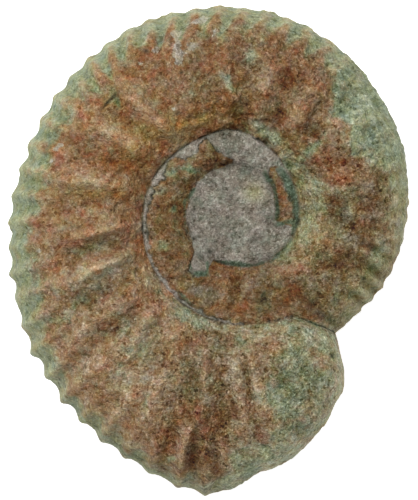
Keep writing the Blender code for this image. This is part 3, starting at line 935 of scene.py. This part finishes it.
# The hue of the green and of the brown by angle, as (angle, warmth): 0 is green, 0.7 brown and 1 rust
GREEN_WARMTH = (
    (START, 0.46), (0, 0.44), (12, 0.38), (20, 0.24), (45, 0.24), (56, 0.36), (90, 0.36), (130, 0.32),
    (180, 0.27), (210, 0.30), (245, 0.34), (270, 0.36), (290, 0.36), (END, 0.40),
)
BROWN_WARMTH = (
    (START, 0.60), (0, 0.61), (20, 0.68), (60, 0.73), (120, 0.77), (180, 0.77), (215, 0.70),
    (250, 0.70), (300, 0.60), (END, 0.60),
)
BROWN_LIGHT = (
    (START, -0.065), (0, -0.05), (20, -0.04), (60, -0.02), (90, -0.02), (130, 0), (165, 0.012),
    (200, 0.015), (220, 0.025), (240, 0.05), (253, 0), (262, -0.1), (272, 0.01), (285, 0.03), (END, -0.02),
)
INNER_WARMTH, INNER_LIGHT, WALL_WARMTH = 0.7, -0.09, 0.42
CREST_WARMTH = 0.06  # of the rim's ribs, above the valleys between them
RIBBED_START = 50  # the rim's ribs are coloured apart from here on
TONGUE_CALM = 0.8  # how much less ragged the green's border is where the brown runs out
GREEN_LEVELS = 0.1, 0.95  # from where there is no green to where it is whole
GREEN_EDGE = 0.6, 1.8  # from the outer edge, green up to the first and as elsewhere from the second on
RIM_SOFTNESS, WALL_SOFTNESS = 2.8, 2.0  # how gradually the green coats end
SEAM_BLEND = -0.2, 0.2  # from the whorl inside the seam to the last one
BROWN_MARK_WARMTH = 0.2  # of a brown mark of strength 1
BROWN_LEVELS = 0.4, 0.6  # the warmth where the light of the brown begins and is whole
HUE_UNEVENNESS, GREEN_EVENNESS = 0.16, 0.2  # of all hues, and how much less of it the green has
# How much the marks change the stone's lightness, the painted highlights and shade of the ribs and the
# grain, and the painted light on the strip
MARK_LIGHT, FINE_RIB_PAINTED_SHADING, STRONG_RIB_PAINTED_SHADING, GRAIN_PAINTED_SHADING, STRIP_TONE_AND_PAINTED_LIGHT = 0.11, 0.036, 0.02, 0.06, 0.07
STRIP_MIDDLE, STRIP_REACH = 1, 1.2  # of the lighter strip, partly its paler sediment and partly painted light against the shade of the wall above it, from the seam inward
FORM_PAINTED_SHADING = 1.5  # painted highlight on a ridge of 1 mm, against a mark of strength 1, and painted shade as much darker in a hollow
# Where the painted highlights and shade of the ribs, and the warmer crests of the rim, begin and end, as
# shares of the way from the outer edge to the seam
FINE_PAINTED_SHADING_ENDS = 0.1, 0.4
FLANK_STARTS, FLANK_ENDS = (0.2, 0.5), (0.85, 0.97)
# Painted shade in the seam's groove, by angle, as (angle, darkness)
SEAM_PAINTED_SHADE = (
    (START, 0.3), (-20, 0.6), (20, 0.6), (60, 0.3), (100, 0.4), (140, 0.7), (215, 0.45), (240, 0.12),
    (300, 0.12), (END, 0.3),
)
PLUG_LINE, STRIP_LINE = 0.4, 0.9  # how dark the painted shade is in the lines round the plug and inside the strip
PLUG_REACH = 10, 11  # the radius of the last plug line and of the first strip line
LINE_WIDTH = 0.14
COARSENESS = (
    (START, 1.25), (60, 1.15), (95, 1), (150, 0.92), (200, 0.92), (215, 1.1), (245, 1.2), (264, 1.45),
    (END, 1.38),
)
RIM_FINENESS = 0.25  # how much weaker the stone's texture is on the outer rim
UNDERSIDE_TURN = 150


def turned(points, side):
    """Where the marks of the upper side are looked up: on the lower side they are turned about the axis."""
    if side == 1:
        return points
    cos, sin = np.cos(np.radians(UNDERSIDE_TURN)), np.sin(np.radians(UNDERSIDE_TURN))
    x, y, z = np.moveaxis(points, -1, 0)
    return np.stack([x * cos - y * sin, x * sin + y * cos, z], axis=-1)


def patches(points, table):
    """The sum of soft oval patches at each point."""
    total = np.zeros(points.shape[:-1])
    for x, y, length, width, turn, strength in table:
        cos, sin = np.cos(np.radians(turn)), np.sin(np.radians(turn))
        over, up = points[..., 0] + AXIS_X - x, points[..., 1] + AXIS_Y - y
        along, aside = (over * cos + up * sin) / length, (up * cos - over * sin) / width
        total += strength * np.exp(-(along**2 + aside**2))
    return total


def last_share(angle, radius):
    """1 on the last whorl, 0 on the whorl inside it."""
    return smooth_step(radius - seam_radius(angle), *SEAM_BLEND)


def warmth_at(points, angle, radius, side):
    """The hue of the shell: 0 is green, 0.7 brown and 1 rust."""
    whorl = whorl_at(angle, radius)
    across = place_across(whorl, radius)
    last = last_share(angle, radius)
    tongues = line(TONGUES, angle)
    ribbed = fade(across, *FLANK_STARTS) * (angle > RIBBED_START)
    crest = fine_rib_wave(whorl, across) * ribbed * layers(points, TONGUE_LUMPS, 1)
    ragged = layers(points, GREEN_LUMPS) * (1 - TONGUE_CALM * tongues * ribbed)

    rim_width = line(RIM_WIDTH, angle) * layers(points, RIM_LUMPS, 1 - tongues * crest)
    inside = edge_radius(angle) - radius
    rim = fade(inside, rim_width - RIM_SOFTNESS, rim_width + RIM_SOFTNESS)
    wall_width = line(WALL_WIDTH, angle)
    wall = fade(radius - seam_radius(angle), wall_width - WALL_SOFTNESS, wall_width + WALL_SOFTNESS)
    wall = wall * (wall_width > 0)
    marks = patches(turned(points, side), GREEN_MARKS)
    green = smooth_step(np.maximum(rim, wall) * last + marks + ragged, *GREEN_LEVELS)
    green = np.maximum(green, fade(inside, *GREEN_EDGE))

    of_green = line(GREEN_WARMTH, angle)
    of_green = of_green + (WALL_WARMTH - of_green) * wall * (1 - rim) + CREST_WARMTH * crest * rim
    of_brown = INNER_WARMTH + (line(BROWN_WARMTH, angle) - INNER_WARMTH) * last
    of_brown = of_brown - BROWN_MARK_WARMTH * np.minimum(marks, 0)
    uneven = HUE_UNEVENNESS * layers(points, HUE_LUMPS) * (1 - GREEN_EVENNESS * green)
    return of_brown + (of_green - of_brown) * green + uneven


def tone_and_painted_shading_at(points, angle, radius, side, warmth):
    """How much lighter or darker the stone is than its hue, by place: its own tone, with painted highlights
    on ridges, crests and bumps and painted shade in hollows and between ribs.
    """
    whorl = whorl_at(angle, radius)
    across = place_across(whorl, radius)
    last = last_share(angle, radius)
    brown = smooth_step(warmth, *BROWN_LEVELS)
    crest = fine_rib_wave(whorl, across) * fade(across, *FINE_PAINTED_SHADING_ENDS)
    strong = strong_rib_wave(whorl) * smooth_step(across, *FLANK_STARTS) * fade(across, *FLANK_ENDS)
    places = turned(points, side)
    # Painted highlights on the ridges of FORMS and painted shade in its hollows, with the marks that are
    # lighter or darker
    light = MARK_LIGHT * (patches(places, LIGHT_AND_SHADE_MARKS) + FORM_PAINTED_SHADING * patches(places, FORMS))
    light = light + brown * (INNER_LIGHT + (line(BROWN_LIGHT, angle) - INNER_LIGHT) * last)
    # Painted highlights on the crests of the fine and strong ribs, and painted shade in the valleys between
    # them
    light = light + FINE_RIB_PAINTED_SHADING * crest * (1 - brown / 2) + STRONG_RIB_PAINTED_SHADING * strong * brown
    # The strip inside the seam made lighter: partly its paler sediment, partly painted light against the
    # wall's shade
    strip = ridge(radius - seam_radius(angle) + STRIP_MIDDLE, STRIP_REACH)
    light = light + STRIP_TONE_AND_PAINTED_LIGHT * strip * (1 - last)
    rim = rim_share(whorl, across)
    # Painted shade in the grain's hollows and painted highlights on its bumps
    grain = grain_at(points, rim, 0 * rim) / GRAIN[1][1] * line(GRAIN_STRENGTH, whorl)
    return light + GRAIN_PAINTED_SHADING * grain


def marks_at(points, side):
    """How strongly each kind of colour shows, painted light and shade among them, by the place on the
    shell.
    """
    angle = np.degrees(np.arctan2(points[:, 1], points[:, 0]))
    angle = START + (angle - START) % 360
    radius = np.hypot(points[:, 0], points[:, 1])
    depth = sediment_depth(points, angle, radius, side)
    last = last_share(angle, radius)
    warmth = warmth_at(points, angle, radius, side)
    whorl = whorl_at(angle, radius)
    rim = rim_share(whorl, place_across(whorl, radius))
    places = turned(points, side)
    # Painted shade as dark lines in the seam's groove and round the plug's border
    broken_up = layers(points, LINE_LUMPS, LINE_MEAN)
    seam = line(SEAM_PAINTED_SHADE, angle) * ridge(radius - seam_radius(angle), LINE_WIDTH) * broken_up
    border = PLUG_LINE + (STRIP_LINE - PLUG_LINE) * smooth_step(radius, *PLUG_REACH)
    border = border * ridge(depth, LINE_WIDTH) * (1 - last) * broken_up
    return {
        "sediment": smooth_step(depth, *SEDIMENT_BLEND),
        "warmth": warmth,
        # tone, with painted highlights and shade
        "light": tone_and_painted_shading_at(points, angle, radius, side, warmth),
        "teal_and_shade": patches(places, TEAL_AND_SHADE_MARKS),
        "grey": patches(places, GREY_MARKS),
        "ochre": patches(places, OCHRE_MARKS),
        "crust": patches(places, CRUST_MARKS),
        "rim": rim,
        "coarse": (1 - RIM_FINENESS * rim) * (1 + (line(COARSENESS, angle) - 1) * last),
        "crevice_shade": np.maximum(np.maximum(seam, border), patches(places, PIT_SHADE_MARKS)),
    }


def add_marks(mesh):
    """Keeps the marks on the mesh, for its material."""
    places = np.empty(len(mesh.vertices) * 3)
    mesh.vertices.foreach_get("co", places)
    points = about_axis(places.reshape(-1, 3) * 1000)
    upper = points[:, 2] > 0
    above, below = marks_at(points[upper], 1), marks_at(points[~upper], -1)
    for name in above:
        values = np.zeros(len(points))
        values[upper], values[~upper] = above[name], below[name]
        mesh.attributes.new(name, "FLOAT", "POINT").data.foreach_set("value", values)


def set_inputs(node, values):
    for name, value in values.items():
        node.inputs[name].default_value = value


class Nodes:
    """A short way to lay out shader nodes: each call adds one and gives its output."""

    def __init__(self, tree):
        self.tree = tree
        self.place = self.add("ShaderNodeTexCoord").outputs["Object"]

    def add(self, kind, *values, **settings):
        """Adds a node with these settings, and puts the values into its first sockets."""
        node = self.tree.nodes.new(kind)
        for name, value in settings.items():
            setattr(node, name, value)
        for socket, value in zip(node.inputs, values):
            self.put(socket, value)
        return node

    def put(self, socket, value):
        """Links an output to a socket, or sets a number or colour there."""
        if isinstance(value, bpy.types.NodeSocket):
            self.tree.links.new(value, socket)
        else:
            socket.default_value = value

    def mark(self, name):
        return self.add("ShaderNodeAttribute", attribute_name=name).outputs["Fac"]

    def math(self, operation, first, second):
        return self.add("ShaderNodeMath", first, second, operation=operation).outputs[0]

    def multiply_add(self, *vectors):
        return self.add("ShaderNodeVectorMath", *vectors, operation="MULTIPLY_ADD").outputs[0]

    def sum(self, *parts):
        """The sum of parts, each an output, a number, or an output and what it is multiplied by."""
        total = 0
        for part in parts:
            value = self.math("MULTIPLY", *part) if isinstance(part, tuple) else part
            total = self.math("ADD", total, value)
        return total

    def step(self, value, low, high, start=0, end=1):
        """From start to end as the value goes from low to high."""
        settings = {"interpolation_type": "SMOOTHSTEP"}
        return self.add("ShaderNodeMapRange", value, low, high, start, end, **settings).outputs[0]

    def noise(self, size, detail, roughness, seed):
        """Noise from about -1 to 1 with lumps of this size in millimetres."""
        node = self.add("ShaderNodeTexNoise", self.place, noise_dimensions="4D")
        set_inputs(node, {"W": seed, "Scale": 1000 / size, "Detail": detail, "Roughness": roughness})
        return self.step(node.outputs["Fac"], *NOISE_RANGE, -1, 1)

    def cells(self, size, seed):
        """For many small uneven grains, a number from 0 to 1 for each, and the distance from its middle."""
        uneven = self.add("ShaderNodeTexNoise", self.place)
        set_inputs(uneven, {"Scale": 1000 / size})
        push = (CELL_PUSH * size,) * 3
        pushed = self.multiply_add(uneven.outputs["Color"], push, self.place)
        node = self.add("ShaderNodeTexVoronoi", pushed, voronoi_dimensions="4D")
        set_inputs(node, {"W": seed, "Scale": 1000 / size})
        number = self.add("ShaderNodeSeparateColor", node.outputs["Color"]).outputs[0]
        return number, node.outputs["Distance"]

    def mix(self, share, first, second):
        node = self.add("ShaderNodeMix", share, data_type="RGBA")
        for socket, value in ((6, first), (7, second)):
            self.put(node.inputs[socket], (*value, 1) if isinstance(value, tuple) else value)
        return node.outputs[2]

    def shift(self, color, amount, direction):
        """A colour moved by an amount along a direction, and kept above black."""
        moved = self.multiply_add(amount, direction, color)
        return self.add("ShaderNodeVectorMath", moved, DARKEST, operation="MAXIMUM").outputs[0]

    def linear(self, color):
        return self.add("ShaderNodeGamma", color, DISPLAY_GAMMA).outputs[0]

    def ramp(self, value, stops):
        """A colour between (place, colour) stops."""
        node = self.add("ShaderNodeValToRGB", value)
        elements = node.color_ramp.elements
        while len(elements) < len(stops):
            elements.new(1)
        for element, (place, color) in zip(elements, stops):
            element.position = place
            element.color = (*color, 1)
        return node.outputs[0]


# Colours as a picture holds them, from 0 to 1. They are mixed so, and made linear at the end.
HUES = (
    (0, (0.43, 0.485, 0.38)), (0.18, (0.495, 0.54, 0.42)), (0.35, (0.533, 0.543, 0.408)),
    (0.5, (0.55, 0.505, 0.37)), (0.68, (0.545, 0.44, 0.308)), (0.82, (0.54, 0.4, 0.268)),
    (1, (0.57, 0.35, 0.22)),
)
GREYS = (
    (0, (0.56, 0.57, 0.505)), (0.5, (0.592, 0.567, 0.516)), (1, (0.607, 0.562, 0.524)),
)
CRUST_COLOR = (0.66, 0.64, 0.57)
CREVICE_SHADE_COLOR = (0.17, 0.17, 0.13)
TEAL_AND_SHADE_COLOR = (0.27, 0.36, 0.27)
DUST_COLOR = (0.53, 0.505, 0.42)
DARKEST = (0.06, 0.06, 0.05)
YELLOWING = (0.012, 0, -0.06)  # what an ochre mark adds
DISPLAY_GAMMA = 2.2
DUST_SHARE, TEAL_AND_SHADE_SHARE, CRUST_SHARE, CREVICE_SHADE_SHARE = 0.6, 0.75, 0.8, 0.8  # of each colour at its strongest
DUST_LEVELS, TEAL_AND_SHADE_LEVELS, CRUST_LEVELS = (0.1, 1), (0.2, 0.9), (0.35, 0.65)  # from none to the strongest
HUE_CHANGE, RIM_HUE_CHANGE = 0.28, 0.14
SEDIMENT_YELLOW = 0.3  # how uneven the yellow of the sediment is against the shell's
PALE_SPECKS, DARK_SPECKS = (0.88, 0.97), (0.12, 0.03)  # grains with such numbers are specks
THREAD_WIDTH = 0.4  # how far from 0 the noise of the threads is at their borders
NOISE_RANGE = 0.25, 0.75  # most of Blender's noise lies between these
CELL_PUSH = 0.0012  # how far the borders of the grains are pushed about, in metres for each millimetre
ROUGHNESS, SPECULAR = (0.62, 0.9), 0.35
BUMP_STRENGTH, BUMP_HEIGHT = 0.95, 0.00018  # in metres


def new_material(name):
    """A new material and its surface shader."""
    material = bpy.data.materials.new(name)
    material.use_nodes = True
    return material, material.node_tree.nodes["Principled BSDF"]


def stone_material():
    material, shader = new_material("fossil_stone")
    nodes = Nodes(material.node_tree)
    marks = {name: nodes.mark(name) for name in (
        "sediment", "warmth", "light", "teal_and_shade", "grey", "ochre", "crust", "rim", "coarse", "crevice_shade"
    )}

    # Noise by size, detail, roughness and seed, and grains by size and seed, with sizes in millimetres
    broad = nodes.noise(4, 3, 0.6, 1)
    mottle = nodes.noise(1.6, 4, 0.75, 2)
    fine = nodes.noise(0.45, 2, 0.8, 3)
    hue = nodes.noise(2.4, 5, 0.75, 4)
    other_hue = nodes.noise(2, 5, 0.75, 5)
    large_grain, large_distance = nodes.cells(0.55, 6)
    small_grain, small_distance = nodes.cells(0.28, 7)
    pale_specks = nodes.step(small_grain, *PALE_SPECKS)
    dark_specks = nodes.step(large_grain, *DARK_SPECKS)
    yellow_share = nodes.step(marks["sediment"], 0, 1, 1, SEDIMENT_YELLOW)
    threads = nodes.math("ABSOLUTE", nodes.noise(0.8, 2, 0.6, 8), 0)
    threads = nodes.step(threads, 0, THREAD_WIDTH, 1, 0)
    texture = nodes.sum(
        (broad, 0.035), (mottle, 0.08), (fine, 0.08), (large_grain, 0.06), (small_grain, 0.1), -0.045,
        (threads, 0.05), (pale_specks, 0.06), (dark_specks, -0.1),
    )
    texture = nodes.math("MULTIPLY", texture, marks["coarse"])

    hue_change = nodes.step(marks["rim"], 0, 1, HUE_CHANGE, RIM_HUE_CHANGE)
    color = nodes.ramp(nodes.sum(marks["warmth"], nodes.math("MULTIPLY", hue, hue_change)), HUES)
    dust = nodes.step(nodes.sum(marks["grey"], (broad, 0.2), (mottle, 0.4)), *DUST_LEVELS)
    color = nodes.mix(nodes.math("MULTIPLY", dust, DUST_SHARE), color, DUST_COLOR)
    grey = nodes.ramp(nodes.sum(0.5, (hue, 0.5), (other_hue, 0.3)), GREYS)
    color = nodes.mix(marks["sediment"], color, grey)
    ragged = nodes.sum((broad, 0.12), (mottle, 0.3), (fine, 0.1))
    # Dark green, and painted shade beside the plug and in the seam's groove
    teal_and_shade = nodes.step(nodes.sum(marks["teal_and_shade"], ragged), *TEAL_AND_SHADE_LEVELS)
    color = nodes.mix(nodes.math("MULTIPLY", teal_and_shade, TEAL_AND_SHADE_SHARE), color, TEAL_AND_SHADE_COLOR)
    crust = nodes.step(nodes.sum(marks["crust"], ragged), *CRUST_LEVELS)
    color = nodes.mix(nodes.math("MULTIPLY", crust, CRUST_SHARE), color, CRUST_COLOR)
    # Lighter and darker by the texture, the tone, and the painted highlights and shade
    color = nodes.shift(color, nodes.sum(texture, marks["light"]), (1, 1, 1))
    yellow = nodes.sum(marks["ochre"], (nodes.math("MULTIPLY", other_hue, yellow_share), 0.95))
    color = nodes.shift(color, yellow, YELLOWING)
    # Painted shade in the seam, round the plug and in the pits
    color = nodes.mix(nodes.math("MULTIPLY", marks["crevice_shade"], CREVICE_SHADE_SHARE), color, CREVICE_SHADE_COLOR)
    nodes.put(shader.inputs["Base Color"], nodes.linear(color))

    nodes.put(shader.inputs["Roughness"], nodes.step(fine, -1, 1, *ROUGHNESS))
    set_inputs(shader, {"Specular IOR Level": SPECULAR})
    bump = nodes.add("ShaderNodeBump")
    set_inputs(bump, {"Strength": BUMP_STRENGTH, "Distance": BUMP_HEIGHT})
    height = nodes.sum((large_distance, -0.8), (small_distance, -0.8), (large_grain, 0.6), (fine, 0.6))
    height = nodes.sum(height, (threads, 0.5))
    nodes.put(bump.inputs["Height"], nodes.math("MULTIPLY", height, marks["coarse"]))
    nodes.put(shader.inputs["Normal"], bump.outputs[0])
    return material


def add_floor():
    bpy.ops.mesh.primitive_plane_add(size=FLOOR_SIZE, location=(0, 0, -FLOOR_DROP))
    floor = bpy.context.object
    floor.name = "floor"
    pale, shader = new_material("pale_floor")
    set_inputs(shader, {"Base Color": FLOOR_COLOR, "Roughness": 0.9})
    set_inputs(shader, {"Emission Color": WHITE, "Emission Strength": FLOOR_GLOW})
    floor.data.materials.append(pale)


def add_camera():
    camera = bpy.data.cameras.new("camera")
    camera.lens = LENS
    camera.sensor_width = SENSOR
    seen = add_object("camera", camera)
    distance = PIXEL * PHOTO_HEIGHT * LENS / SENSOR
    seen.location = (VIEW_X, VIEW_Y, MIDDLE_HEIGHT / 1000 + distance)
    bpy.context.scene.camera = seen


def add_light(name, place, size, power):
    """A soft square light aimed at the fossil."""
    light = bpy.data.lights.new(name, "AREA")
    light.size = size
    light.energy = power
    lamp = add_object(name, light)
    lamp.location = place
    lamp.rotation_euler = (-Vector(place)).to_track_quat("-Z", "Y").to_euler()


def add_world():
    world = bpy.data.worlds.new("studio")
    world.use_nodes = True
    set_inputs(world.node_tree.nodes["Background"], {"Color": WHITE, "Strength": SKY_STRENGTH})
    bpy.context.scene.world = world


fossil = thinned(fossil_mesh())
add_marks(fossil.data)
fossil.data.materials.append(stone_material())
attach(fossil, "root")
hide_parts("ammonite")
add_floor()
add_camera()
add_light("key", LIGHT_PLACE, LIGHT_SIZE, LIGHT_POWER)
add_world()
bpy.context.scene.view_settings.view_transform = "Standard"
